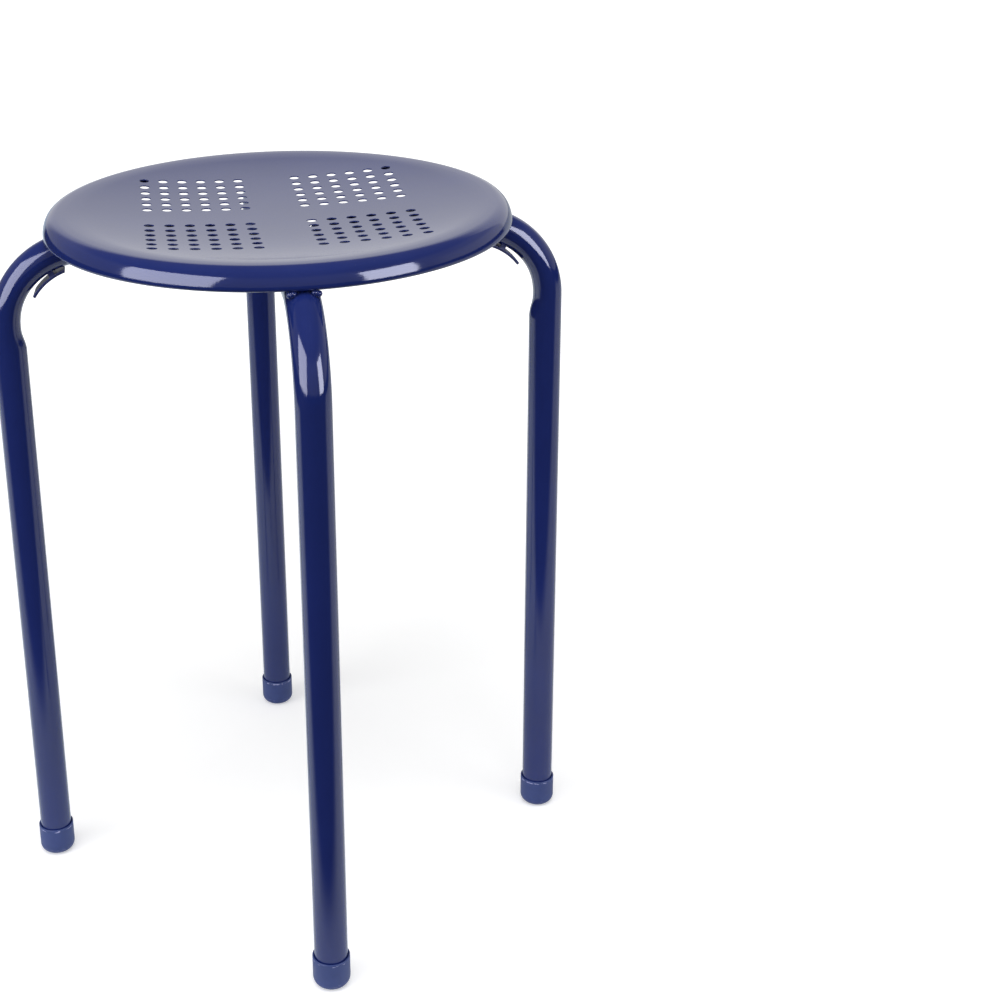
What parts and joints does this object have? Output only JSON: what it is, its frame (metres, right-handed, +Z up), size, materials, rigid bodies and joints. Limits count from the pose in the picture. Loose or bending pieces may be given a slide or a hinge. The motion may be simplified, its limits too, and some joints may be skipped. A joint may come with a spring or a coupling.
{
  "type": "stacking stool",
  "caption": "Round stacking stool with a dished, hole-punched steel seat on bent tube hoops that cross beneath it, with curved stop strips in the bends and plastic foot caps.",
  "frame": {"origin": "on the floor, at the centre of the square of feet, under the middle of the seat", "axes": "+Z up; +X to the leg at the right in the picture, +Y to the leg at the back; the hole fields lie square to these axes; the stop strips are on the legs at +X and -X"},
  "size_m": [0.3862, 0.3862, 0.48],
  "materials": {
    "painted_steel": "dark blue gloss powder coat over steel",
    "foot_plastic": "dark blue moulded plastic, satin"
  },
  "bodies": {
    "root": {"seat_pan": "painted_steel", "hoop_left_right": "painted_steel", "hoop_front_back": "painted_steel", "stop_strip_right": "painted_steel", "stop_tab_right": "painted_steel", "stop_strip_left": "painted_steel", "stop_tab_left": "painted_steel", "rim_weld_right_1": "painted_steel", "rim_weld_right_2": "painted_steel", "crossing_weld_right": "painted_steel", "rim_weld_back_1": "painted_steel", "rim_weld_back_2": "painted_steel", "crossing_weld_back": "painted_steel", "rim_weld_left_1": "painted_steel", "rim_weld_left_2": "painted_steel", "crossing_weld_left": "painted_steel", "rim_weld_front_1": "painted_steel", "rim_weld_front_2": "painted_steel", "crossing_weld_front": "painted_steel", "foot_cap_right": "foot_plastic", "foot_cap_back": "foot_plastic", "foot_cap_left": "foot_plastic", "foot_cap_front": "foot_plastic"}
  },
  "joints": []
}
